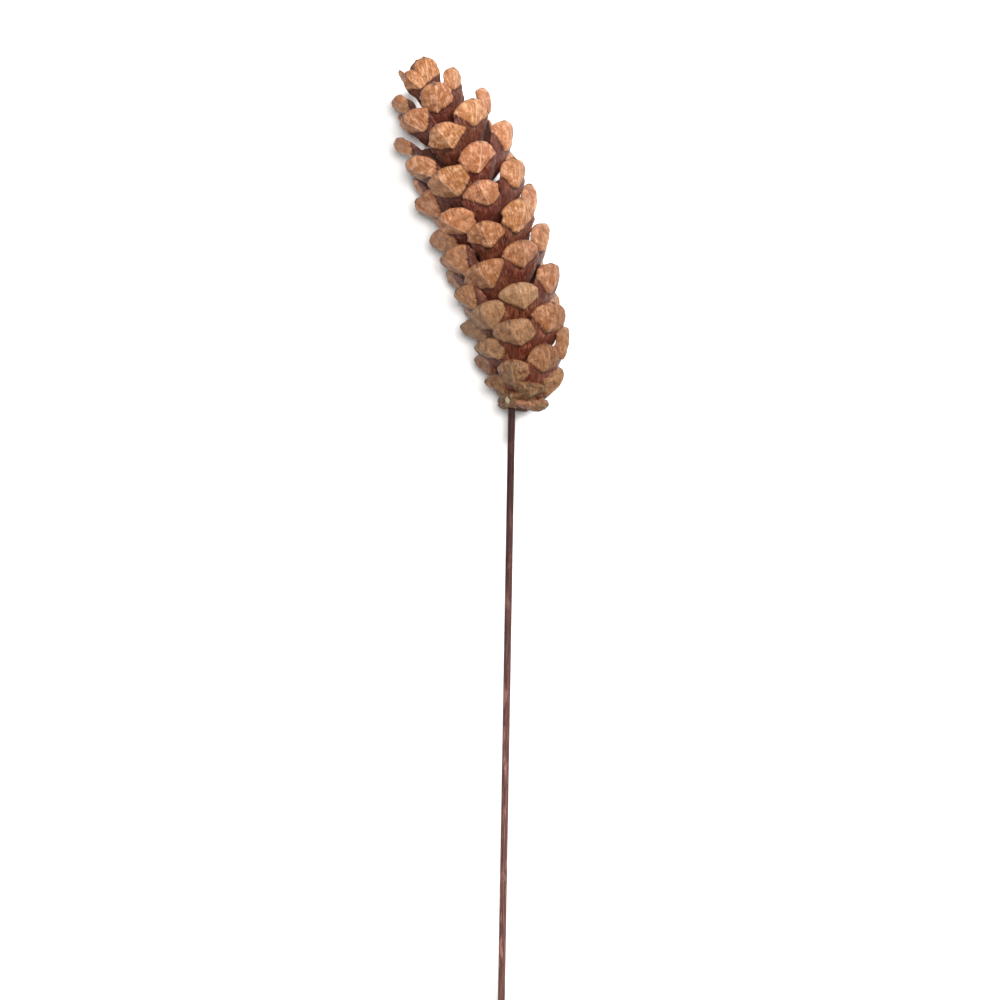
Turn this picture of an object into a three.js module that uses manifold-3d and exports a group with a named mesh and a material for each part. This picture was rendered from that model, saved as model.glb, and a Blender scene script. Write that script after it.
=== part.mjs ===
// A slender pine cone lying on its side, with a thin dyed stick glued into its base.
// Millimetres. +Z is up, and +Y runs from the free end of the stick to the tip of the cone.
import * as THREE from 'three';
import { mergeVertices } from 'three/addons/utils/BufferGeometryUtils.js';
import Module from 'manifold-3d';

// The axis of the cone bends gently to the left from its base to its tip.
const AXIS_BASE = new THREE.Vector3(0, 0, 19.5);
const AXIS_BEND = new THREE.Vector3(2.5, 40, 22.5);
const AXIS_TIP = new THREE.Vector3(-46.5, 141.5, 20.5);

// Scales: each one stands a fixed turn round from the last, and a little further along the axis.
// They crowd together at the base and at the tip, and one near the tip has broken off.
const FIRST_SCALE = -2;
const LAST_SCALE = 74;
const LOST_SCALE = 71;
const BASAL_SCALES = 11;
const BASAL_RISE = 0.12;
const CROWDED_FROM = 146;
const CROWDED_RISE = 0.5;
const MIDDLE_SCALE = 40;
const MIDDLE_ALONG = 83.8;
const SCALE_RISE = 2.005;
const SCALE_RISE_GROWTH = 0.0018;
const MIDDLE_TURN = 182.03;
const SCALE_TURN = 136.93;

// Along the axis: how far out the tips of the scales reach, and how wide the scales are.
const TIP_RADIUS = [[0, 7], [3, 9.4], [11, 13.8], [23, 17.5], [43, 20], [84, 21.8], [101, 22.2],
  [119, 21.5], [127, 20], [137, 16.5], [146, 10.5], [149, 7.5], [150.2, 2]];
const SCALE_WIDTH = [[0, 8.5], [3, 10], [11, 12.5], [23, 14.5], [43, 16.4], [60, 17.2],
  [100, 16.8], [122, 15.4], [138, 12], [150, 9.5]];
const CORE_RADIUS = [[-1.8, 2.4], [-0.3, 3.6], [1, 7.4], [7, 9.6], [15, 9.2], [26, 6.6], [38, 4.6],
  [90, 4.4], [125, 3.4], [141, 2]];
const CORE_SIDES = 10;

// One scale: a narrow shaft with a thick woody knob at its end. A keel runs down its outer face.
const SCALE_REACH = 22;
const ROOT_RADIUS = 3;
const ROOT_WIDTH = 5.5;
const FIRST_ROOT = 1.5;
const BEND_SHARE = 0.55;
const CURL_RADIUS = 19;
const STATIONS = [0, 0.34, 0.6, 0.76, 0.94, 1];
const WIDTH_SHARE = [0, 0.32, 0.78, 1, 0.88, 0.5];
const KEEL_ABOVE = [1.5, 1.1, 1.6, 2.9, 2.6, 1.4];
const KEEL_BELOW = [1.5, 1, 1.1, 1.5, 1.4, 1];
const EDGE_ABOVE = [0.7, 0.7, 0.9, 1.3, 1.2, 0.8];
const EDGE_BELOW = [0.7, 0.7, 0.7, 0.9, 0.9, 0.7];
const ALONG_JITTER = 0.8;
const TURN_JITTER = 3;
const OPEN_JITTER = 4;
const OUT_JITTER = 0.6;
const WIDTH_JITTER = 0.1;
const TIP_HOOK = 0.5;
const HOOK_START = 0.8;
const MOST_TWIST = 0.14;
const MOST_SWAY = 1.3;
const FACE_UP = 0.32;
const FULL_WIDTH = 14;
const LEAST_BULK = 0.8;
const OPEN_FRONT = 28;
const OPEN_LEFT_MORE = 7;
const OPEN_RIGHT_LESS = 20;
const RIGHT_REACH = 0.08;
const RIGHT_SHORTER = 2.6;
const RIGHT_TUCK = 2.3;
const TUCK_END = 0.35;
const OPEN_BASE = 64;
const BASE_OPEN_END = 22;

// The stick and the bead of glue at its hole.
const STEM_RADIUS = 1.5;
const STEM_SIDES = 12;
const STEM_BESIDE_AXIS = -4.2;
const STEM_FREE = 305;
const STEM_SUNK = 22;
const STEM_END_HEIGHT = 1.36;
const FIT_GAP = 0.3;
const GLUE_CENTRE = new THREE.Vector3(-5.6, 2.9, 24.3);
const GLUE_SIZE = new THREE.Vector3(1.8, 2.2, 4.1);
const HOLE_BELOW_BASE = 20;
const CUT_SIDE = 1000;
const CUT_DEPTH = 50;

const wasm = await Module();
wasm.setup();

// A closed three.js geometry as a solid for joining and cutting.
function solid(geometry) {
  const bare = geometry.clone();
  bare.deleteAttribute('normal');
  bare.deleteAttribute('uv');
  const merged = mergeVertices(bare, 1e-4);
  return new wasm.Manifold(new wasm.Mesh({
    numProp: 3,
    vertProperties: merged.attributes.position.array,
    triVerts: new Uint32Array(merged.index.array),
  }));
}

// A solid as a named mesh. Only its largest body is kept, so sealed hollows fill up.
function mesh(name, body, material) {
  const whole = body.decompose().reduce((a, b) => (b.volume() > a.volume() ? b : a));
  const found = whole.getMesh();
  const geometry = new THREE.BufferGeometry();
  geometry.setAttribute('position', new THREE.BufferAttribute(found.vertProperties, 3));
  geometry.setIndex(new THREE.BufferAttribute(found.triVerts, 1));
  geometry.computeVertexNormals();
  const made = new THREE.Mesh(geometry, material);
  made.name = name;
  return made;
}

function fromPoints(points, triangles) {
  const geometry = new THREE.BufferGeometry();
  geometry.setAttribute('position', new THREE.Float32BufferAttribute(points.flat(), 3));
  geometry.setIndex(triangles.flat());
  return geometry;
}

// The value of a profile, a list of [along, value], at a place along the axis.
function profile(list, along) {
  const next = list.findIndex(([place]) => place >= along);
  if (next === 0) return list[0][1];
  if (next === -1) return list[list.length - 1][1];
  const [a, low] = list[next - 1];
  const [b, high] = list[next];
  return low + (high - low) * (along - a) / (b - a);
}

// A repeatable random number from -1 to 1 for one scale and one purpose.
function chance(scale, purpose) {
  const wave = Math.sin((scale + 50) * 12.9898 + purpose * 78.233) * 43758.5453;
  return 2 * (wave - Math.floor(wave)) - 1;
}

const axis = new THREE.QuadraticBezierCurve3(AXIS_BASE, AXIS_BEND, AXIS_TIP);
const AXIS_LENGTH = axis.getLength();
const UP = new THREE.Vector3(0, 0, 1);

// The point at a distance out from the axis, at a turn round it (0 is up, + to the right),
// a distance along it, and a distance aside along the turn.
function place(out, along, turn, aside) {
  const share = THREE.MathUtils.clamp(along / AXIS_LENGTH, 0, 1);
  const forward = axis.getTangentAt(share);
  const right = new THREE.Vector3().crossVectors(forward, UP).normalize();
  const up = new THREE.Vector3().crossVectors(right, forward);
  const point = axis.getPointAt(share).addScaledVector(forward, along - share * AXIS_LENGTH);
  point.addScaledVector(up, out * Math.cos(turn) - aside * Math.sin(turn));
  point.addScaledVector(right, out * Math.sin(turn) + aside * Math.cos(turn));
  return point.toArray();
}

// The woody core that all scales grow from, with the broken stub of the stalk at its base.
function core() {
  const points = [];
  const triangles = [];
  CORE_RADIUS.forEach(([along, radius], ring) => {
    for (let side = 0; side < CORE_SIDES; side += 1) {
      points.push(place(radius, along, side * 2 * Math.PI / CORE_SIDES, 0));
      const here = ring * CORE_SIDES + side;
      const beside = ring * CORE_SIDES + (side + 1) % CORE_SIDES;
      if (ring > 0) {
        triangles.push([here - CORE_SIDES, beside, here]);
        triangles.push([here - CORE_SIDES, beside - CORE_SIDES, beside]);
      }
    }
  });
  const last = points.length - CORE_SIDES;
  for (let side = 1; side < CORE_SIDES - 1; side += 1) {
    triangles.push([0, side + 1, side]);
    triangles.push([last, last + side, last + side + 1]);
  }
  return solid(fromPoints(points, triangles));
}

// The numbers of one scale: where its tip is, how far it opens, and how wide it is.
function scaleNumbers(index) {
  const step = Math.max(index, FIRST_SCALE) - MIDDLE_SCALE;
  const regular = MIDDLE_ALONG + SCALE_RISE * step + SCALE_RISE_GROWTH * step * step;
  const crowded = Math.max(regular - CROWDED_FROM, 0) * (CROWDED_RISE - 1);
  const basal = BASAL_RISE * Math.min(index - FIRST_SCALE, 0);
  const spiral = MIDDLE_TURN + SCALE_TURN * (index - MIDDLE_SCALE);
  const degrees = spiral + TURN_JITTER * chance(index, 2);
  const turn = THREE.MathUtils.degToRad(degrees);
  const rightward = Math.sin(turn);
  const grown = THREE.MathUtils.smoothstep(regular, 0, BASE_OPEN_END);
  const shorter = RIGHT_SHORTER * grown * Math.max(rightward, 0);
  const along = regular + crowded + basal - shorter + ALONG_JITTER * chance(index, 1);
  const towardsBase = 1 - THREE.MathUtils.smoothstep(along, 0, BASE_OPEN_END);
  const lean = rightward > 0 ? OPEN_RIGHT_LESS : OPEN_LEFT_MORE;
  const open = OPEN_FRONT - lean * rightward + OPEN_JITTER * chance(index, 3);
  const under = THREE.MathUtils.smoothstep(-Math.cos(turn), 0, TUCK_END);
  const tuck = RIGHT_TUCK * under * rightward * rightward;
  const more = RIGHT_REACH * Math.max(rightward, 0) * (1 - tuck);
  const reach = profile(TIP_RADIUS, regular + crowded) * (1 + more);
  return {
    along,
    turn,
    out: reach + OUT_JITTER * chance(index, 4),
    width: profile(SCALE_WIDTH, along) * (1 + WIDTH_JITTER * chance(index, 5)),
    twist: MOST_TWIST * chance(index, 9) + FACE_UP * rightward,
    sway: MOST_SWAY * chance(index, 10),
    open: THREE.MathUtils.degToRad(THREE.MathUtils.lerp(open, OPEN_BASE, towardsBase)),
  };
}

// One scale: an outer and an inner skin of the same triangles, closed round the edge.
function scale(index) {
  const { along, turn, out, width, open, twist, sway } = scaleNumbers(index);
  const bulk = THREE.MathUtils.clamp(width / FULL_WIDTH, LEAST_BULK, 1);
  const root = [ROOT_RADIUS, Math.max(along - SCALE_REACH, FIRST_ROOT)];
  const length = Math.hypot(out - root[0], along - root[1]);
  const bend = [
    out - BEND_SHARE * length * Math.sin(open),
    along - BEND_SHARE * length * Math.cos(open),
  ];
  const middle = new THREE.QuadraticBezierCurve(
    new THREE.Vector2(...root), new THREE.Vector2(...bend), new THREE.Vector2(out, along));
  const points = [];
  for (const face of [1, -1]) {
    STATIONS.forEach((station, row) => {
      const point = middle.getPoint(station);
      const forward = middle.getTangent(station);
      const half = THREE.MathUtils.lerp(ROOT_WIDTH, width, WIDTH_SHARE[row]) / 2;
      const curl = -half * half / (2 * CURL_RADIUS);
      const hook = -TIP_HOOK * Math.max((station - HOOK_START) / (1 - HOOK_START), 0) ** 2;
      for (const column of [-1, 0, 1]) {
        const above = column === 0 ? KEEL_ABOVE[row] : EDGE_ABOVE[row];
        const below = column === 0 ? KEEL_BELOW[row] : EDGE_BELOW[row];
        const tilt = twist * station * column * half;
        const skin = bulk * (face === 1 ? above : -below);
        const lift = Math.abs(column) * curl + hook + tilt + skin;
        const aside = column * half + sway * station ** 2;
        points.push(place(
          point.x + lift * forward.y, point.y - lift * forward.x, turn, aside));
      }
    });
  }
  const rows = STATIONS.length;
  const at = (face, row, column) => (face * rows + row) * 3 + column;
  const triangles = [];
  for (let row = 0; row < rows - 1; row += 1) {
    for (const column of [0, 1]) {
      for (const face of [0, 1]) {
        const a = at(face, row, column);
        const b = at(face, row, column + 1);
        const c = at(face, row + 1, column + 1);
        const d = at(face, row + 1, column);
        triangles.push(face === 0 ? [a, b, c] : [a, c, b]);
        triangles.push(face === 0 ? [a, c, d] : [a, d, c]);
      }
    }
    for (const column of [0, 2]) {
      const a = at(0, row, column);
      const b = at(0, row + 1, column);
      const c = at(1, row + 1, column);
      const d = at(1, row, column);
      triangles.push(column === 0 ? [a, b, c] : [a, c, b]);
      triangles.push(column === 0 ? [a, c, d] : [a, d, c]);
    }
  }
  for (const row of [0, rows - 1]) {
    for (const column of [0, 1]) {
      const a = at(0, row, column);
      const b = at(0, row, column + 1);
      const c = at(1, row, column + 1);
      const d = at(1, row, column);
      triangles.push(row === 0 ? [a, c, b] : [a, b, c]);
      triangles.push(row === 0 ? [a, d, c] : [a, c, d]);
    }
  }
  return solid(fromPoints(points, triangles));
}

// The stick slopes down from the base of the cone until its free end lies on the surface.
const stemStart = new THREE.Vector3(STEM_BESIDE_AXIS, -STEM_FREE, STEM_END_HEIGHT);
const stemEntry = new THREE.Vector3(STEM_BESIDE_AXIS, 0, AXIS_BASE.z);
const stemForward = stemEntry.clone().sub(stemStart).normalize();

function rod(radius, from, to) {
  const geometry = new THREE.CylinderGeometry(radius, radius, to - from, STEM_SIDES);
  geometry.translate(0, (from + to) / 2, 0);
  geometry.applyQuaternion(
    new THREE.Quaternion().setFromUnitVectors(new THREE.Vector3(0, 1, 0), stemForward));
  geometry.translate(stemEntry.x, stemEntry.y, stemEntry.z);
  return solid(geometry);
}

function bead(margin) {
  const geometry = new THREE.IcosahedronGeometry(1, 1);
  geometry.scale(GLUE_SIZE.x + margin, GLUE_SIZE.y + margin, GLUE_SIZE.z + margin);
  geometry.translate(GLUE_CENTRE.x, GLUE_CENTRE.y, GLUE_CENTRE.z);
  return solid(geometry);
}

// Everything below the surface, to cut off, so that what touches it lies flat.
const belowBox = new THREE.BoxGeometry(CUT_SIDE, CUT_SIDE, CUT_DEPTH);
belowBox.translate(0, 0, -CUT_DEPTH / 2);
const below = solid(belowBox);

const stemLength = stemEntry.distanceTo(stemStart);
let coneBody = core();
for (let index = FIRST_SCALE - BASAL_SCALES; index <= LAST_SCALE; index += 1) {
  if (index !== LOST_SCALE) coneBody = coneBody.add(scale(index));
}
coneBody = coneBody.subtract(rod(STEM_RADIUS + FIT_GAP, -HOLE_BELOW_BASE, STEM_SUNK + FIT_GAP));
coneBody = coneBody.subtract(bead(FIT_GAP)).subtract(below);
const stemBody = rod(STEM_RADIUS, -stemLength, STEM_SUNK).subtract(below);
const glueBody = bead(0).subtract(rod(STEM_RADIUS + FIT_GAP, -HOLE_BELOW_BASE, STEM_SUNK));

const coneMaterial = new THREE.MeshStandardMaterial({ color: 0xb98258, roughness: 0.75 });
const stemMaterial = new THREE.MeshStandardMaterial({ color: 0x4e3436, roughness: 0.6 });
const glueMaterial = new THREE.MeshStandardMaterial({ color: 0xc9c9a8, roughness: 0.3 });

const group = new THREE.Group();
group.add(mesh('cone', coneBody, coneMaterial));
group.add(mesh('stem', stemBody, stemMaterial));
group.add(mesh('glue', glueBody, glueMaterial));

// The origin is the middle of the space that the part takes on the surface it lies on.
const box = new THREE.Box3().setFromObject(group);
const middleOfBox = box.getCenter(new THREE.Vector3());
group.position.set(-middleOfBox.x, -middleOfBox.y, -box.min.z);

export default group;
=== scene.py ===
import math

import bpy
import numpy as np
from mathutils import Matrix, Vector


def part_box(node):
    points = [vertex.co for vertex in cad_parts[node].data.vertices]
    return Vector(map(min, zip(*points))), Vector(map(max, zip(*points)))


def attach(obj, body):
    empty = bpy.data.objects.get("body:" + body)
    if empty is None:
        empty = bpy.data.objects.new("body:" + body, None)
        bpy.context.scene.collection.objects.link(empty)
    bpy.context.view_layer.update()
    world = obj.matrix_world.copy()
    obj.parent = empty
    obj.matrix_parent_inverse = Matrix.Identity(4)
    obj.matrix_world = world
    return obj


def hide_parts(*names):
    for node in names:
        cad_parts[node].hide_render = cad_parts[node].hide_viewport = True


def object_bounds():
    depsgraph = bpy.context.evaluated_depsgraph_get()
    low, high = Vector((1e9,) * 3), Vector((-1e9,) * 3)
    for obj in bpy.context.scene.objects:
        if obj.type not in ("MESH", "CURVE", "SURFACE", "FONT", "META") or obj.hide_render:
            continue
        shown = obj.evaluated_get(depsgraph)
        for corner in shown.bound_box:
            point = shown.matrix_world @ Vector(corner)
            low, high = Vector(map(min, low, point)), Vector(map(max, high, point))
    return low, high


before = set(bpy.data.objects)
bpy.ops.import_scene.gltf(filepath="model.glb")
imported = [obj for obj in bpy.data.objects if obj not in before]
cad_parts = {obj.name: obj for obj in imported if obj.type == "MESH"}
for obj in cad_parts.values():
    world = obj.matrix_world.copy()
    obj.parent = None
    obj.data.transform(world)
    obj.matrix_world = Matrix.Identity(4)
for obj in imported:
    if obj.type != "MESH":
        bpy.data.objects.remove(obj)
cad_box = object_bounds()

# The view: straight down on the cone as it lies, turned so slightly that the stick leans as it
# does in the photograph. Pixels are those of the photograph, 1000 a side.
MM = 0.001
AXIS_BASE = np.array([0.0, 0.0, 19.5])
STEM_BESIDE_AXIS = -4.2
STEM_FREE = 305
STEM_RADIUS = 1.5
STEM_END_HEIGHT = 1.36
BASE_PIXEL = (522, 407)
PHOTO_PIXELS = 1000
PHOTO_WIDTH = 410
CAMERA_HEIGHT = 1150
CAMERA_ROLL = math.radians(0.99)

stem_low, stem_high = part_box("stem")
stem_slope = math.atan2(AXIS_BASE[2] - STEM_END_HEIGHT, STEM_FREE)
SHIFT = np.array([
    (stem_low[0] + stem_high[0]) / 2 / MM - STEM_BESIDE_AXIS,
    stem_low[1] / MM + STEM_FREE + STEM_RADIUS * math.sin(stem_slope),
    0.0,
])
from_base_x = (PHOTO_PIXELS / 2 - BASE_PIXEL[0]) * PHOTO_WIDTH / PHOTO_PIXELS
from_base_y = (BASE_PIXEL[1] - PHOTO_PIXELS / 2) * PHOTO_WIDTH / PHOTO_PIXELS
aim_x = from_base_x * math.cos(CAMERA_ROLL) - from_base_y * math.sin(CAMERA_ROLL) + SHIFT[0]
aim_y = from_base_x * math.sin(CAMERA_ROLL) + from_base_y * math.cos(CAMERA_ROLL) + SHIFT[1]
camera_data = bpy.data.cameras.new("camera")
camera_data.sensor_width = 36
camera_data.lens = camera_data.sensor_width * CAMERA_HEIGHT / PHOTO_WIDTH
camera = bpy.data.objects.new("camera", camera_data)
camera.location = (aim_x * MM, aim_y * MM, (AXIS_BASE[2] + CAMERA_HEIGHT) * MM)
camera.rotation_euler = (0, 0, CAMERA_ROLL)
bpy.context.scene.collection.objects.link(camera)
bpy.context.scene.camera = camera


# The surface and the light: a white sheet under a large soft light overhead, with a second
# light from the upper right that models the scales, and a pale sky that fills the shadows.
FLOOR_SIDE = 6.0
FLOOR_DROP = 0.0001
FLOOR_WHITE = (0.93, 0.925, 0.925, 1)
LAMPS = {
    "overhead": ((0.06, 0.17, 1.44), 0.4, 20.5),
    "key": ((0.66, 0.72, 1.0), 0.3, 20.5),
}
LAMP_COLOUR = (1.0, 0.985, 0.96)
SKY_COLOUR = (0.97, 0.98, 1, 1)
SKY_STRENGTH = 0.2

bpy.ops.mesh.primitive_plane_add(size=FLOOR_SIDE, location=(0, 0, -FLOOR_DROP))
floor = bpy.context.active_object
floor.name = "floor"
floor_material = bpy.data.materials.new("white sheet")
floor_material.use_nodes = True
floor_shader = floor_material.node_tree.nodes["Principled BSDF"]
floor_shader.inputs["Base Color"].default_value = FLOOR_WHITE
floor_shader.inputs["Roughness"].default_value = 0.7
floor.data.materials.append(floor_material)

for name, (lamp_place, lamp_size, watts) in LAMPS.items():
    lamp_data = bpy.data.lights.new(name, "AREA")
    lamp_data.shape = "DISK"
    lamp_data.size = lamp_size
    lamp_data.energy = watts
    lamp_data.color = LAMP_COLOUR
    lamp = bpy.data.objects.new(name, lamp_data)
    lamp.location = lamp_place
    lamp.rotation_euler = (-lamp.location).to_track_quat("-Z", "Y").to_euler()
    bpy.context.scene.collection.objects.link(lamp)

sky = bpy.data.worlds.new("sky")
sky.use_nodes = True
sky.node_tree.nodes["Background"].inputs["Color"].default_value = SKY_COLOUR
sky.node_tree.nodes["Background"].inputs["Strength"].default_value = SKY_STRENGTH
bpy.context.scene.world = sky
bpy.context.scene.view_settings.view_transform = "Standard"


# The core of the cone: the woody spindle that every scale grows from, reddish brown and rough,
# with the broken stub of the stalk at its base. Its axis bends gently to the left.
AXIS_BEND = np.array([2.5, 40.0, 22.5])
AXIS_TIP = np.array([-46.5, 141.5, 20.5])
AXIS_STEPS = 400
CORE_RADIUS = [[-1.8, 2.2], [-0.3, 3.4], [1, 7.1], [7, 9.3], [15, 8.9], [26, 6.4], [38, 4.4],
               [90, 4.2], [125, 3.2], [141, 1.8]]
CORE_SIDES = 48
CORE_RINGS = 120
CORE_ROUGHNESS = 0.35
CORE_DARK = (0.035, 0.012, 0.007, 1)
CORE_LIGHT = (0.17, 0.065, 0.036, 1)

axis_share = np.linspace(0, 1, AXIS_STEPS + 1)
axis_points = (
    np.outer((1 - axis_share) ** 2, AXIS_BASE)
    + np.outer(2 * axis_share * (1 - axis_share), AXIS_BEND)
    + np.outer(axis_share**2, AXIS_TIP)
)
axis_steps = np.linalg.norm(np.diff(axis_points, axis=0), axis=1)
axis_lengths = np.concatenate([[0], np.cumsum(axis_steps)])
AXIS_LENGTH = axis_lengths[-1]


def unit(vectors):
    return vectors / np.linalg.norm(vectors, axis=-1, keepdims=True)


def place(out, along, turn, aside):
    """Points at a distance out from the cone's axis, at a turn round it (0 is up, + to the
    right), a distance along it and a distance aside along the turn, all in millimetres."""
    out, along, turn, aside = np.broadcast_arrays(out, along, turn, aside)
    within = np.clip(along, 0, AXIS_LENGTH)
    share = np.interp(within, axis_lengths, axis_share)[..., None]
    point = (1 - share) ** 2 * AXIS_BASE + 2 * share * (1 - share) * AXIS_BEND
    point = point + share**2 * AXIS_TIP
    forward = unit((1 - share) * (AXIS_BEND - AXIS_BASE) + share * (AXIS_TIP - AXIS_BEND))
    right = unit(np.cross(forward, [0, 0, 1]))
    up = np.cross(right, forward)
    point = point + forward * (along - within)[..., None]
    point = point + up * (out * np.cos(turn) - aside * np.sin(turn))[..., None]
    return point + right * (out * np.sin(turn) + aside * np.cos(turn))[..., None]


def cell_chance(i, j, layer):
    """A repeatable number from -1 to 1 for each cell of a grid."""
    mixed = (i * 374761393 + j * 668265263 + layer * 974634777) & 0xFFFFFFFF
    mixed = ((mixed ^ (mixed >> 13)) * 1274126177) & 0xFFFFFFFF
    return ((mixed ^ (mixed >> 16)) & 0xFFFF) / 32767.5 - 1


def ripple(x, y, layer):
    """Smooth noise from -1 to 1 with bumps about one unit apart."""
    x, y = np.broadcast_arrays(x, y)
    i = np.floor(x).astype(np.int64)
    j = np.floor(y).astype(np.int64)
    fx = x - i
    fy = y - j
    fx = fx * fx * (3 - 2 * fx)
    fy = fy * fy * (3 - 2 * fy)
    low = cell_chance(i, j, layer) * (1 - fx) + cell_chance(i + 1, j, layer) * fx
    high = cell_chance(i, j + 1, layer) * (1 - fx) + cell_chance(i + 1, j + 1, layer) * fx
    return low * (1 - fy) + high * fy


def tube_faces(rings, sides, first=0):
    """Quads between closed rings of points, and the triangles that close both ends on the two
    points that follow the rings."""
    ring = np.arange(rings - 1)[:, None] * sides
    side = np.arange(sides)[None, :]
    beside = (side + 1) % sides
    quads = [ring + side, ring + beside, ring + sides + beside, ring + sides + side]
    quads = np.stack(quads, -1).reshape(-1, 4) + first
    side = side[0]
    beside = beside[0]
    start = np.full(sides, rings * sides)
    last = (rings - 1) * sides
    near = np.stack([start, beside, side], -1)
    far = np.stack([start + 1, last + side, last + beside], -1)
    return quads.tolist(), (np.vstack([near, far]) + first).tolist()


def make_piece(name, node, points, faces, material, read):
    """A smooth mesh piece from points in the cone's millimetres, in place of a solid, with the
    numbers of each point that its material reads."""
    mesh = bpy.data.meshes.new(name)
    mesh.from_pydata(((points + SHIFT) * MM).tolist(), [], faces)
    mesh.polygons.foreach_set("use_smooth", [True] * len(mesh.polygons))
    for label, values in read.items():
        stored = mesh.attributes.new(label, "FLOAT_VECTOR", "POINT")
        stored.data.foreach_set("vector", np.ascontiguousarray(values, np.float32).ravel())
    mesh.materials.append(material)
    piece = bpy.data.objects.new(name, mesh)
    bpy.context.scene.collection.objects.link(piece)
    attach(piece, "root")
    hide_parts(node)
    return piece


def node(tree, kind, inputs=(), **settings):
    """Adds a shader node. Its inputs are values, or the outputs of other nodes."""
    made = tree.nodes.new(kind)
    for name, value in settings.items():
        setattr(made, name, value)
    for name, value in dict(inputs).items():
        if isinstance(value, bpy.types.NodeSocket):
            tree.links.new(value, made.inputs[name])
        else:
            made.inputs[name].default_value = value
    return made


def new_material(name, roughness):
    material = bpy.data.materials.new(name)
    material.use_nodes = True
    shader = material.node_tree.nodes["Principled BSDF"]
    shader.inputs["Roughness"].default_value = roughness
    return material, material.node_tree, shader


def ramp(tree, value, stops):
    """The output of a colour ramp through the stops, each a place and a colour."""
    made = node(tree, "ShaderNodeValToRGB", {"Fac": value})
    points = made.color_ramp.elements
    while len(points) < len(stops):
        points.new(0.5)
    for point, (position, colour) in zip(points, stops):
        point.position = position
        point.color = colour
    return made.outputs["Color"]


def span(tree, value, low, high):
    """The output that runs from 0 to 1 as the value runs from low to high."""
    limits = {"Value": value, "From Min": low, "From Max": high}
    return node(tree, "ShaderNodeMapRange", limits).outputs["Result"]


def mix(tree, share, first, second, blend_type="MIX"):
    """The output of two colours mixed by a share."""
    colours = {"Factor": share, "A": first, "B": second}
    made = tree.nodes.new("ShaderNodeMix")
    made.data_type = "RGBA"
    made.blend_type = blend_type
    for name, value in colours.items():
        socket = [one for one in made.inputs if one.name == name and one.enabled][0]
        if isinstance(value, bpy.types.NodeSocket):
            tree.links.new(value, socket)
        else:
            socket.default_value = value
    return [one for one in made.outputs if one.enabled][0]


def maths(tree, operation, first, second):
    made = tree.nodes.new("ShaderNodeMath")
    made.operation = operation
    for socket, value in zip(made.inputs, (first, second)):
        if isinstance(value, bpy.types.NodeSocket):
            tree.links.new(value, socket)
        else:
            socket.default_value = value
    return made.outputs["Value"]


def grain_group():
    """Wood: fibres drawn out lengthwise, broad blotches and small specks, in millimetres."""
    tree = bpy.data.node_groups.new("wood grain", "ShaderNodeTree")
    tree.interface.new_socket("Place", in_out="INPUT", socket_type="NodeSocketVector")
    tree.interface.new_socket("Fineness", in_out="INPUT", socket_type="NodeSocketVector")
    for name in ("Fibres", "Blotches", "Specks"):
        tree.interface.new_socket(name, in_out="OUTPUT", socket_type="NodeSocketFloat")
    start = tree.nodes.new("NodeGroupInput")
    end = tree.nodes.new("NodeGroupOutput")
    drawn = tree.nodes.new("ShaderNodeVectorMath")
    drawn.operation = "MULTIPLY"
    tree.links.new(start.outputs["Place"], drawn.inputs[0])
    tree.links.new(start.outputs["Fineness"], drawn.inputs[1])
    noises = {
        "Fibres": (drawn.outputs["Vector"], 1.0, 4, 0.65),
        "Blotches": (start.outputs["Place"], 0.42, 5, 0.62),
        "Specks": (start.outputs["Place"], 2.1, 2, 0.5),
    }
    for name, (vector, scale, detail, roughness) in noises.items():
        settings = {"Vector": vector, "Scale": scale, "Detail": detail, "Roughness": roughness}
        noise = node(tree, "ShaderNodeTexNoise", settings)
        tree.links.new(noise.outputs["Fac"], end.inputs[name])
    return tree


wood_grain = grain_group()


def grain_in(tree, fineness):
    """The grain of one material, placed by the numbers stored with its mesh."""
    stored = node(tree, "ShaderNodeAttribute", attribute_name="grain")
    made = node(tree, "ShaderNodeGroup", node_tree=wood_grain)
    made.inputs["Fineness"].default_value = fineness
    tree.links.new(stored.outputs["Vector"], made.inputs["Place"])
    return made.outputs["Fibres"], made.outputs["Blotches"], made.outputs["Specks"]


core_places = np.array([row[0] for row in CORE_RADIUS], float)
core_radii = np.array([row[1] for row in CORE_RADIUS], float)
core_along = np.linspace(core_places[0], core_places[-1], CORE_RINGS)[:, None]
core_turn = (np.arange(CORE_SIDES) * 2 * math.pi / CORE_SIDES)[None, :]
core_out = np.interp(core_along, core_places, core_radii)
core_out = core_out - CORE_ROUGHNESS * np.abs(ripple(core_along * 0.8, core_turn * 6, 3))
core_points = place(core_out, core_along, core_turn, 0).reshape(-1, 3)
core_ends = place(np.zeros(2), core_places[[0, -1]], np.zeros(2), np.zeros(2))
core_grain = np.stack(
    np.broadcast_arrays(core_turn * 5, core_along, core_along * 0), -1).reshape(-1, 3)
core_quads, core_caps = tube_faces(CORE_RINGS, CORE_SIDES)

core_material, tree, shader = new_material("rough core", 0.85)
fibres, blotches, specks = grain_in(tree, (1.2, 0.5, 1))
core_colour = ramp(tree, fibres, [(0.3, CORE_DARK), (0.7, CORE_LIGHT)])
tree.links.new(core_colour, shader.inputs["Base Color"])
bump = node(tree, "ShaderNodeBump", {"Height": fibres, "Distance": 0.0006})
tree.links.new(bump.outputs["Normal"], shader.inputs["Normal"])
make_piece(
    "core", "cone", np.vstack([core_points, core_ends]), core_quads + core_caps, core_material,
    {"grain": np.vstack([core_grain, core_grain[:2]])})


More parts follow.
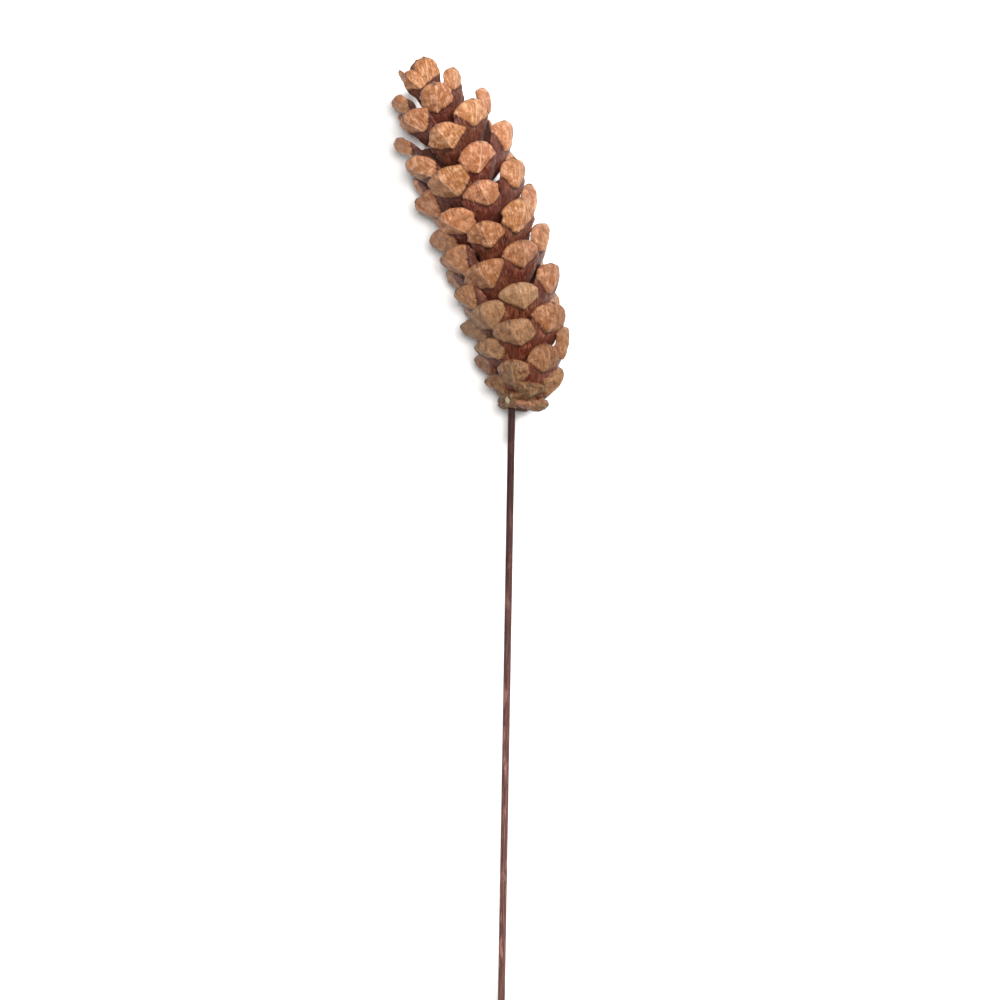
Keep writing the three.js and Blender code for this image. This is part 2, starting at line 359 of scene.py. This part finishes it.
# The scales: about ninety woody spoons in a spiral, each on a narrow purplish shaft, with a thick
# tan end that has a keel, a V-shaped foot and a small dark point. They grew on the core.
FIRST_SCALE = -2
LAST_SCALE = 74
LOST_SCALE = 71
TURN_SPREAD = 3
ALONG_SPREAD = 0.8
OPEN_SPREAD = 4
OUT_SPREAD = 0.6
WIDTH_SPREAD = 0.1
BASAL_SCALES = 11
BASAL_RISE = 0.12
CROWDED_FROM = 146
CROWDED_RISE = 0.5
MIDDLE_SCALE = 40
MIDDLE_ALONG = 83.8
SCALE_RISE = 2.005
SCALE_RISE_GROWTH = 0.0018
MIDDLE_TURN = 182.03
SCALE_TURN = 136.93
TIP_RADIUS = [[0, 7], [3, 9.4], [11, 13.8], [23, 17.5], [43, 20], [84, 21.8], [101, 22.2],
              [119, 21.5], [127, 20], [137, 16.5], [146, 10.5], [149, 7.5], [150.2, 2]]
SCALE_WIDTH = [[0, 8.5], [3, 10], [11, 12.5], [23, 14.5], [43, 16.4], [60, 17.2],
               [100, 16.8], [122, 15.4], [138, 12], [150, 9.5]]
SCALE_REACH = 22
ROOT_RADIUS = 3
ROOT_WIDTH = 5.5
FIRST_ROOT = 1.5
BEND_SHARE = 0.55
CURL_RADIUS = 19
OPEN_FRONT = 28
OPEN_LEFT_MORE = 7
OPEN_RIGHT_LESS = 20
RIGHT_REACH = 0.08
RIGHT_SHORTER = 2.6
RIGHT_TUCK = 2.3
TUCK_END = 0.35
OPEN_BASE = 64
BASE_OPEN_END = 22
SHAFT_EDGE = 0.6
HEAD_EDGE = 1.15
KEEL_RISE = 1.9
HEAD_LENGTH = 11.6
MOST_ROUGH = 0.25
FULL_WIDTH = 14
LEAST_BULK = 0.8
FACE_UP = 0.32
LARGEST_WIDTH = 17
SPIRAL_ROWS = 13
SCALE_RINGS = 54
OUTER_COLUMNS = 41
INNER_COLUMNS = 17
CRUSTED_SCALES = (23, 15, 20, 12, 17, 7)
BROKEN_SCALES = (-6,)
SHAFT_BROADER = 0.22
TIP_ROUNDED_FROM = 0.78
TIP_ROUNDED_SPREAD = 0.06
TIP_SHARPNESS = 2.5
TIP_SHARPNESS_SPREAD = 0.7
SIDE_SPREAD = 0.07
FOOT_ASIDE_SPREAD = 0.14
FOOT_ASIDE_LEFT = 0.18
FOOT_SPREAD = 0.12
FOOT_SLOPE = 0.38
FOOT_SLOPE_SPREAD = 0.2
FOOT_SLOPE_SIDEWAYS = 1.1
FOOT_BLUNT = 1.2
BASE_WEAR = 1.5
COARSE_ROUGH = 0.24
MIDDLE_ROUGH = 0.16
FINE_ROUGH = 0.06
CRACK_DEPTH = 0.16
GROOVE_DEPTH = 0.3
TWIST_SPREAD = 0.14
SWAY = 1.3
BEAK_LENGTH = 0.9
TAN_STOPS = [
    (0.37, (0.13, 0.042, 0.014, 1)),
    (0.45, (0.32, 0.122, 0.047, 1)),
    (0.53, (0.45, 0.195, 0.089, 1)),
    (0.63, (0.62, 0.33, 0.188, 1)),
]
PURPLE_STOPS = [
    (0.32, (0.026, 0.005, 0.002, 1)),
    (0.46, (0.080, 0.015, 0.006, 1)),
    (0.56, (0.120, 0.028, 0.013, 1)),
    (0.68, (0.25, 0.095, 0.062, 1)),
]
INNER_STOPS = [(0.32, (0.07, 0.018, 0.01, 1)), (0.68, (0.27, 0.10, 0.055, 1))]
RESIN_COLOUR = (0.47, 0.155, 0.032, 1)
CREASE_COLOUR = (0.26, 0.10, 0.045, 1)
DARK_SPECK_COLOUR = (0.17, 0.06, 0.028, 1)
GLINT_PAINT_COLOUR = (0.86, 0.66, 0.48, 1)
RIM_AND_SHADE_COLOUR = (0.30, 0.12, 0.056, 1)
FOOT_COLOUR = (0.34, 0.14, 0.066, 1)
RIDGE_WEAR_AND_HIGHLIGHT_COLOUR = (0.72, 0.47, 0.30, 1)
FISSURE_COLOUR = (0.13, 0.05, 0.024, 1)
POINT_COLOUR = (0.10, 0.04, 0.025, 1)
CRUST_COLOUR = (0.40, 0.29, 0.185, 1)
PAINTED_SHEEN_COLOUR = (0.24, 0.105, 0.078, 1)
DEPTH_SHADE_COLOUR = (0.080, 0.016, 0.008, 1)
FOOT_SHADOW_COLOUR = (0.045, 0.016, 0.010, 1)
BROKEN_COLOUR = (0.72, 0.36, 0.27, 1)
AGED_TAN = (0.46, 0.42, 0.32, 1)
AGED_PURPLE = (1.15, 1.1, 0.75, 1)


def chance(scale, purpose):
    """A repeatable number from -1 to 1 for one scale and one purpose."""
    wave = math.sin((scale + 50) * 12.9898 + purpose * 78.233) * 43758.5453
    return 2 * (wave - math.floor(wave)) - 1


def profile(rows, along):
    return float(np.interp(along, [row[0] for row in rows], [row[1] for row in rows]))


def smooth(low, high, value):
    share = np.clip((value - low) / (high - low), 0, 1)
    return share * share * (3 - 2 * share)


def scale_numbers(index):
    """Where the tip of a scale is, how wide it is and how far it opens."""
    step = max(index, FIRST_SCALE) - MIDDLE_SCALE
    regular = MIDDLE_ALONG + SCALE_RISE * step + SCALE_RISE_GROWTH * step * step
    regular += (CROWDED_RISE - 1) * max(regular - CROWDED_FROM, 0)
    turn = MIDDLE_TURN + SCALE_TURN * (index - MIDDLE_SCALE)
    turn = math.radians(turn + TURN_SPREAD * chance(index, 2))
    rightward = math.sin(turn)
    along = regular + BASAL_RISE * min(index - FIRST_SCALE, 0)
    along += ALONG_SPREAD * chance(index, 1)
    grown = float(smooth(0, BASE_OPEN_END, regular))
    along -= RIGHT_SHORTER * grown * max(rightward, 0)
    towards_base = 1 - float(smooth(0, BASE_OPEN_END, along))
    lean = OPEN_RIGHT_LESS if rightward > 0 else OPEN_LEFT_MORE
    opened = OPEN_FRONT - lean * rightward + OPEN_SPREAD * chance(index, 3)
    opened = math.radians(opened + (OPEN_BASE - opened) * towards_base)
    tuck = RIGHT_TUCK * float(smooth(0, TUCK_END, -math.cos(turn))) * rightward**2
    more = RIGHT_REACH * max(rightward, 0) * (1 - tuck)
    out = profile(TIP_RADIUS, regular) * (1 + more) + OUT_SPREAD * chance(index, 4)
    width = profile(SCALE_WIDTH, along) * (1 + WIDTH_SPREAD * chance(index, 5))
    return along, turn, out, width, opened


def scale_points(index):
    """The points of one scale, ring by ring from its root to its tip, and what its material
    reads: marks (mm inside the head, mm from the rim, inner side), shape (mm from the ridge,
    mm from the tip's point, crust) and grain (mm across, mm from the tip, number)."""
    along, turn, out, width, opened = scale_numbers(index)
    root_out = ROOT_RADIUS
    root_along = max(along - SCALE_REACH, FIRST_ROOT)
    length = math.hypot(out - root_out, along - root_along)
    bend_out = out - BEND_SHARE * length * math.sin(opened)
    bend_along = along - BEND_SHARE * length * math.cos(opened)
    ring = np.linspace(0, 1, SCALE_RINGS)[:, None]
    t = 0.998 * (1 - (1 - ring) ** 1.45)
    middle_out = (1 - t) ** 2 * root_out + 2 * t * (1 - t) * bend_out + t**2 * out
    middle_along = (1 - t) ** 2 * root_along + 2 * t * (1 - t) * bend_along + t**2 * along
    forward = unit(np.concatenate([
        (1 - t) * (bend_out - root_out) + t * (out - bend_out),
        (1 - t) * (bend_along - root_along) + t * (along - bend_along),
    ], axis=1))

    across = np.linspace(-1, 1, OUTER_COLUMNS)
    across = 0.7 * across + 0.3 * np.sin(across * math.pi / 2)
    back = np.linspace(1, -1, INNER_COLUMNS + 2)[1:-1]
    u = np.concatenate([across, back])[None, :]
    face = np.concatenate([np.ones(OUTER_COLUMNS), -np.ones(INNER_COLUMNS)])[None, :]
    left = (1 - t) * length

    grown = 0.66 * smooth(0.02, 0.6, t) + 0.34 * smooth(0.5, 0.76, t)
    rounding = TIP_ROUNDED_FROM + TIP_ROUNDED_SPREAD * chance(index, 16)
    rounded = np.clip((t - rounding) / (1.001 - rounding), 0, 1)
    sharpness = TIP_SHARPNESS + TIP_SHARPNESS_SPREAD * chance(index, 17)
    rounded = (1 - rounded**sharpness) ** 0.52
    half = (ROOT_WIDTH + (width - ROOT_WIDTH) * grown) / 2 * rounded
    broader = smooth(0.15, 0.45, t) * (1 - smooth(0.65, 0.8, t))
    half = half * (1 + SHAFT_BROADER * max(math.sin(turn), 0) * broader)
    half = half * (1 + SIDE_SPREAD * smooth(0.5, 0.8, t) * np.sign(u) * chance(index, 15))
    half = half * (1 + 0.10 * ripple(left * 0.28, np.sign(u) * 2 + index * 5.3, 1))
    half = half * (1 + 0.07 * ripple(left * 0.75, np.sign(u) * 2 + index * 3.1, 6))
    x = half * u

    size = width / LARGEST_WIDTH
    bulk = min(max(width / FULL_WIDTH, LEAST_BULK), 1)
    leftward = -math.sin(turn)
    foot_x = width * (FOOT_ASIDE_SPREAD * chance(index, 6) + FOOT_ASIDE_LEFT * leftward)
    foot = HEAD_LENGTH * size**0.6 * (1 + FOOT_SPREAD * chance(index, 7))
    slope_more = FOOT_SLOPE_SPREAD * chance(index, 8)
    slope_left = FOOT_SLOPE + slope_more + FOOT_SLOPE_SIDEWAYS * max(-leftward, 0)
    slope_right = FOOT_SLOPE - slope_more + FOOT_SLOPE_SIDEWAYS * max(leftward, 0)
    aside = np.sqrt((x - foot_x) ** 2 + FOOT_BLUNT**2) - FOOT_BLUNT
    foot_edge = foot - np.where(x < foot_x, slope_left, slope_right) * aside
    foot_edge = foot_edge + 0.5 * ripple(x * 0.6, index * 2.7, 8)
    past_foot = foot_edge - left
    head = smooth(-0.35, 0.55, past_foot)

    ridge_x = -0.5 * foot_x + 1.5 * foot_x * np.clip(left / foot, 0, 1.1)
    ridge_x = np.clip(ridge_x, -0.75 * half, 0.75 * half)
    beside = x - ridge_x
    to_rim = np.where(beside < 0, half + ridge_x, half - ridge_x) + 0.01
    share = np.sqrt((beside / to_rim) ** 2 + 0.04**2)
    roof = np.clip(1 - share, 0, 1)
    facets = KEEL_RISE * roof * (0.45 + 0.55 * smooth(0, 3, left))
    worn = 1 + BASE_WEAR * float(smooth(60, 8, along))
    rough = COARSE_ROUGH * worn * ripple(x * 0.42 + index * 7, left * 0.33, 2)
    rough = rough + MIDDLE_ROUGH * worn * ripple(x * 0.9, left * 0.7, index)
    rough = rough + FINE_ROUGH * worn * ripple(x * 2.4, left * 2.0, index + 100)
    crack = np.exp(-((ripple(x * 0.8 + index * 3, left * 0.3, 7) + 0.15) / 0.08) ** 2)
    split = np.exp(-((ripple(x * 0.5 + index * 9, left * 0.75, 13) - 0.1) / 0.06) ** 2)
    crack = np.maximum(crack, split * float(smooth(70, 20, along)))
    rough = np.minimum(rough - CRACK_DEPTH * worn * crack, MOST_ROUGH)
    fibres = 0.05 * ripple(x * 2.0 + index * 3, left * 0.14, 5)
    thick = SHAFT_EDGE + (HEAD_EDGE - SHAFT_EDGE) * smooth(0.5, 0.75, t)
    shaft = SHAFT_EDGE + 0.15 + 0.45 * (1 - u * u) + 1.6 * fibres
    groove = GROOVE_DEPTH * np.exp(-((past_foot + 0.6) / 0.5) ** 2) * smooth(2, 8, left)
    outer = head * (thick + facets + rough) + (1 - head) * shaft - groove
    inner = 0.75 * thick + 0.35 * (1 - u * u) + 0.3 * rough
    blunt = np.sqrt(np.clip(1 - np.abs(u) ** 8, 0, 1))
    blunt = blunt * np.sqrt(np.clip(1 - (np.clip(t - 0.93, 0, 1) / 0.069) ** 4, 0, 1))
    lift = np.where(face > 0, outer + fibres * head, -inner + fibres * 0.5) * blunt * bulk
    flat = head * (face > 0)
    curl = flat * half**2 * np.minimum(share, 1) + (1 - flat) * x * x
    lift = lift - curl / (2 * CURL_RADIUS)
    lift = lift - 0.5 * np.clip((t - 0.8) / 0.2, 0, 1) ** 2
    lift = lift + (TWIST_SPREAD * chance(index, 9) + FACE_UP * math.sin(turn)) * t * x

    point_x = -0.5 * foot_x
    to_point = np.sqrt((x - point_x) ** 2 + (left - 0.3) ** 2)
    beak = (0.5 + 0.5 * chance(index, 12)) * np.exp(-((x - point_x) / 0.55) ** 2)
    beak = beak * smooth(1.4, 0, left) * BEAK_LENGTH
    place_out = middle_out + lift * forward[:, 1:2] + beak * forward[:, 0:1]
    place_along = middle_along - lift * forward[:, 0:1] + beak * forward[:, 1:2]
    sway = SWAY * chance(index, 10) * t**2
    points = place(place_out, place_along, turn, x + sway)

    inside = (1 - face) / 2
    rim = half * (1 - np.abs(u))
    crust = 1.0 if index in CRUSTED_SCALES else float(smooth(40, 0, along))
    marks = np.stack(np.broadcast_arrays(past_foot, rim, inside), -1)
    shape = np.stack(np.broadcast_arrays(beside, to_point, crust), -1)
    grain = np.stack(np.broadcast_arrays(x + index * 31.7, left, float(index)), -1)
    tone = np.stack(
        np.broadcast_arrays(along / AXIS_LENGTH, chance(index, 13), chance(index, 14) + 0 * x), -1)
    wear = np.stack(np.broadcast_arrays(crack * head, index in BROKEN_SCALES, x * 0), -1)
    read = {"marks": marks, "shape": shape, "grain": grain, "tone": tone, "wear": wear}
    return points.reshape(-1, 3), {name: values.reshape(-1, 3) for name, values in read.items()}


def scale_material():
    material, tree, shader = new_material("dry scale", 0.5)
    shader.inputs["Specular IOR Level"].default_value = 0.3
    fibres, blotches, specks = grain_in(tree, (2.1, 0.22, 1))

    def stored(name):
        read = node(tree, "ShaderNodeAttribute", attribute_name=name)
        parts = node(tree, "ShaderNodeSeparateXYZ", {"Vector": read.outputs["Vector"]})
        return parts.outputs["X"], parts.outputs["Y"], parts.outputs["Z"]

    past_foot, rim, inside = stored("marks")
    beside, to_point, crust = stored("shape")
    along, lightness, warmth = stored("tone")
    crack, broken = stored("wear")[:2]

    broad = maths(tree, "MULTIPLY", blotches, 0.68)
    weathered = maths(tree, "ADD", broad, maths(tree, "MULTIPLY", fibres, 0.32))
    tan = ramp(tree, weathered, TAN_STOPS)
    resin = span(tree, blotches, 0.43, 0.37)
    tan = mix(tree, maths(tree, "MULTIPLY", resin, 0.6), tan, RESIN_COLOUR)
    off_middle = maths(tree, "ABSOLUTE", maths(tree, "SUBTRACT", fibres, 0.47), 0.0)
    creases = span(tree, off_middle, 0.03, 0.0)
    tan = mix(tree, maths(tree, "MULTIPLY", creases, 0.28), tan, CREASE_COLOUR)
    dark_specks = span(tree, specks, 0.62, 0.70)
    tan = mix(tree, maths(tree, "MULTIPLY", dark_specks, 0.5), tan, DARK_SPECK_COLOUR)
    # Pale specks on the heads: painted glints, on spots where the surface is also glossier.
    painted_glints = span(tree, specks, 0.36, 0.28)
    tan = mix(tree, maths(tree, "MULTIPLY", painted_glints, 0.6), tan, GLINT_PAINT_COLOUR)
    # Darker rim round each head: partly the scale's own brown edge, partly painted shade round the
    # heads.
    rim_and_shade = span(tree, rim, 0.8, 0.0)
    tan = mix(tree, maths(tree, "MULTIPLY", rim_and_shade, 0.55), tan, RIM_AND_SHADE_COLOUR)
    near_foot = span(tree, past_foot, 1.4, 0.0)
    tan = mix(tree, maths(tree, "MULTIPLY", near_foot, 0.4), tan, FOOT_COLOUR)
    # Paler line along the keel: partly worn wood, partly a painted highlight.
    ridge_wear_and_highlight = span(tree, maths(tree, "ABSOLUTE", beside, 0.0), 0.5, 0.0)
    tan = mix(tree, maths(tree, "MULTIPLY", ridge_wear_and_highlight, 0.45), tan, RIDGE_WEAR_AND_HIGHLIGHT_COLOUR)
    fissure = maths(tree, "MULTIPLY", crack, span(tree, crust, -0.8, 1.2))
    tan = mix(tree, maths(tree, "MULTIPLY", fissure, 0.75), tan, FISSURE_COLOUR)
    at_point = span(tree, to_point, 1.0, 0.35)
    tan = mix(tree, maths(tree, "MULTIPLY", at_point, 0.8), tan, POINT_COLOUR)

    crusty = maths(tree, "MULTIPLY", span(tree, specks, 0.40, 0.58), crust)
    crusty = maths(tree, "MULTIPLY", crusty, 0.55)
    tan = mix(tree, crusty, tan, CRUST_COLOUR)

    purple = ramp(tree, fibres, PURPLE_STOPS)
    # Pale lilac patches on the shafts: a painted sheen.
    painted_sheen = maths(tree, "MULTIPLY", span(tree, blotches, 0.50, 0.66), 0.4)
    purple = mix(tree, painted_sheen, purple, PAINTED_SHEEN_COLOUR)
    # Shafts darker further below each head, towards the core: painted shade under the overlapping
    # scales.
    painted_depth_shade = span(tree, past_foot, -2.5, -9.0)
    purple = mix(tree, maths(tree, "MULTIPLY", painted_depth_shade, 0.7), purple, DEPTH_SHADE_COLOUR)
    # A dark band just below each head's foot: a painted shadow of the thick head on its shaft.
    painted_shadow_under_foot = span(tree, past_foot, -1.6, -0.2)
    purple = mix(tree, maths(tree, "MULTIPLY", painted_shadow_under_foot, 0.5), purple, FOOT_SHADOW_COLOUR)
    inner = ramp(tree, fibres, INNER_STOPS)
    purple = mix(tree, inside, purple, inner)
    tan = mix(tree, maths(tree, "MULTIPLY", broken, 0.75), tan, BROKEN_COLOUR)
    aged = span(tree, along, 0.72, 0.02)
    tan = mix(tree, aged, tan, AGED_TAN, "MULTIPLY")
    purple = mix(tree, aged, purple, AGED_PURPLE, "MULTIPLY")

    uneven = maths(tree, "MULTIPLY", maths(tree, "SUBTRACT", fibres, 0.5), 1.6)
    edge = span(tree, maths(tree, "ADD", past_foot, uneven), -0.3, 0.25)
    outside = maths(tree, "SUBTRACT", 1.0, inside)
    colour = mix(tree, maths(tree, "MULTIPLY", edge, outside), purple, tan)

    lighter = node(tree, "ShaderNodeHueSaturation", {
        "Color": colour,
        "Value": maths(tree, "ADD", 1.0, maths(tree, "MULTIPLY", lightness, 0.09)),
        "Hue": maths(tree, "ADD", 0.5, maths(tree, "MULTIPLY", warmth, 0.004)),
    })
    tree.links.new(lighter.outputs["Color"], shader.inputs["Base Color"])
    tree.links.new(span(tree, specks, 0.1, 1.1), shader.inputs["Roughness"])
    height = maths(tree, "ADD", fibres, maths(tree, "MULTIPLY", specks, 0.6))
    height = maths(tree, "SUBTRACT", height, maths(tree, "MULTIPLY", creases, 0.3))
    bump = node(tree, "ShaderNodeBump", {"Height": height, "Distance": 0.0006, "Strength": 0.8})
    tree.links.new(bump.outputs["Normal"], shader.inputs["Normal"])
    return material


dry_scale = scale_material()
sides = OUTER_COLUMNS + INNER_COLUMNS
for row in range(SPIRAL_ROWS):
    row_points = []
    row_faces = []
    row_read = {"marks": [], "shape": [], "grain": [], "tone": [], "wear": []}
    count = 0
    for index in range(FIRST_SCALE - BASAL_SCALES, LAST_SCALE + 1):
        if index % SPIRAL_ROWS != row or index == LOST_SCALE:
            continue
        points, read = scale_points(index)
        root = points[:sides].mean(0)
        tip = points[-sides:].mean(0)
        row_points.append(np.vstack([points, root, tip]))
        for name, values in read.items():
            row_read[name].append(np.vstack([values, values[0], values[-1]]))
        quads, caps = tube_faces(SCALE_RINGS, sides, count)
        row_faces += quads + caps
        count += len(points) + 2
    row_points = np.vstack(row_points)
    row_points[:, 0] = np.minimum(row_points[:, 0], cad_box[1][0] / MM - SHIFT[0])
    row_points[:, 2] = np.clip(row_points[:, 2], 0, cad_box[1][2] / MM)
    row_read = {name: np.vstack(values) for name, values in row_read.items()}
    make_piece(f"scale_row_{row + 1:02d}", "cone", row_points, row_faces, dry_scale, row_read)


# The stick: a thin round wooden stick dyed a brownish purple, cut square at its free end and
# pushed into a hole at the base of the cone. Its colour also carries a painted shadow towards
# the cone and painted highlight patches.
STEM_SUNK = 22
STEM_SIDES = 48
STEM_RINGS = 240
STEM_WEAR = 0.02
STEM_DRAWN = 0.25
STEM_DARK = (0.040, 0.013, 0.013, 1)
STEM_MIDDLE = (0.115, 0.052, 0.046, 1)
STEM_LIGHT = (0.36, 0.175, 0.140, 1)
STEM_SHADED = (0.020, 0.0055, 0.006, 1)

stem_start = np.array([STEM_BESIDE_AXIS, -STEM_FREE, STEM_END_HEIGHT])
stem_entry = np.array([STEM_BESIDE_AXIS, 0, AXIS_BASE[2]])
stem_forward = unit(stem_entry - stem_start)
stem_up = np.array([0, -stem_forward[2], stem_forward[1]])
stem_length = np.linalg.norm(stem_entry - stem_start) + STEM_SUNK
stem_along = np.linspace(0.05, stem_length - 0.05, STEM_RINGS)[:, None]
stem_turn = ((np.arange(STEM_SIDES) / STEM_SIDES - 0.5) * 2 * math.pi)[None, :]
stem_out = STEM_RADIUS - 0.02 - STEM_WEAR * np.abs(ripple(stem_along * 0.05, stem_turn * 5, 11))
stem_out = stem_out - 0.01 * ripple(stem_along * 0.3, stem_turn * 2, 12)
stem_out = stem_out - 0.15 * smooth(0.4, 0, stem_along)
stem_x = STEM_BESIDE_AXIS + stem_out * np.sin(stem_turn)
stem_points = stem_start + stem_along[..., None] * stem_forward
stem_points = stem_points + (stem_out * np.cos(stem_turn))[..., None] * stem_up
stem_points[..., 0] = stem_x
stem_points = stem_points.reshape(-1, 3)
stem_ends = stem_start + stem_along[[0, -1]] * stem_forward
stem_points = np.vstack([stem_points, stem_ends])
stem_points[:, 2] = np.maximum(stem_points[:, 2], 0)
stem_around = stem_turn * STEM_RADIUS
stem_grain = np.stack(np.broadcast_arrays(stem_around, stem_along * STEM_DRAWN, 0.0), -1)
stem_grain = stem_grain.reshape(-1, 3)
stem_quads, stem_caps = tube_faces(STEM_RINGS, STEM_SIDES)

stem_material, tree, shader = new_material("dyed stick", 0.55)
fibres, blotches, specks = grain_in(tree, (2.4, 0.24, 1))
dye_and_painted_light = ramp(tree, fibres, [(0.3, STEM_DARK), (0.52, STEM_MIDDLE), (0.76, STEM_LIGHT)])
dye_and_painted_light = mix(tree, maths(tree, "MULTIPLY", span(tree, blotches, 0.55, 0.75), 0.5), dye_and_painted_light, STEM_DARK)
stored = node(tree, "ShaderNodeAttribute", attribute_name="grain")
parts = node(tree, "ShaderNodeSeparateXYZ", {"Vector": stored.outputs["Vector"]})
# Lighter patches drawn out along the stick: painted highlights.
painted_highlight = maths(tree, "MULTIPLY", span(tree, blotches, 0.46, 0.36), 0.7)
dye_and_painted_light = mix(tree, painted_highlight, dye_and_painted_light, STEM_LIGHT)
# Darker towards the cone: a painted shadow on the stick.
shadow_near_cone = span(tree, parts.outputs["Y"], 150 * STEM_DRAWN, 280 * STEM_DRAWN)
dye_and_painted_light = mix(tree, maths(tree, "MULTIPLY", shadow_near_cone, 0.85), dye_and_painted_light, STEM_SHADED)
shader.inputs["Specular IOR Level"].default_value = 0.12
tree.links.new(dye_and_painted_light, shader.inputs["Base Color"])
bump = node(tree, "ShaderNodeBump", {"Height": fibres, "Distance": 0.00012})
tree.links.new(bump.outputs["Normal"], shader.inputs["Normal"])
make_piece(
    "stick", "stem", stem_points, stem_quads + stem_caps, stem_material,
    {"grain": np.vstack([stem_grain, stem_grain[:2]])})


# The glue: a small bead of pale dried glue, lumpy and a little see-through, that was pressed in
# where the stick enters the cone.
GLUE_CENTRE = np.array([-5.6, 2.9, 24.3])
GLUE_SIZE = np.array([1.7, 2.1, 4.0])
GLUE_RINGS = 28
GLUE_SIDES = 36
GLUE_COLOUR = (0.36, 0.335, 0.22, 1)

glue_polar = np.linspace(0.04, math.pi - 0.04, GLUE_RINGS)[:, None]
glue_turn = (np.arange(GLUE_SIDES) * 2 * math.pi / GLUE_SIDES)[None, :]
glue_out = 1 - 0.12 * np.abs(ripple(glue_polar * 2.2, np.cos(glue_turn) * 2.5, 21))
glue_points = np.stack(np.broadcast_arrays(
    glue_out * np.sin(glue_polar) * np.cos(glue_turn),
    glue_out * np.sin(glue_polar) * np.sin(glue_turn),
    glue_out * np.cos(glue_polar),
), -1).reshape(-1, 3)
glue_points = np.vstack([glue_points, [0, 0, glue_out[0, 0]], [0, 0, -glue_out[-1, 0]]])
glue_points = GLUE_CENTRE + glue_points * GLUE_SIZE
glue_quads, glue_caps = tube_faces(GLUE_RINGS, GLUE_SIDES)
glue_faces = [face[::-1] for face in glue_quads + glue_caps]

glue_material, tree, shader = new_material("dried glue", 0.3)
shader.inputs["Base Color"].default_value = GLUE_COLOUR
shader.inputs["Subsurface Weight"].default_value = 0.4
shader.inputs["Subsurface Scale"].default_value = 0.001
make_piece("glue_bead", "glue", glue_points, glue_faces, glue_material, {})
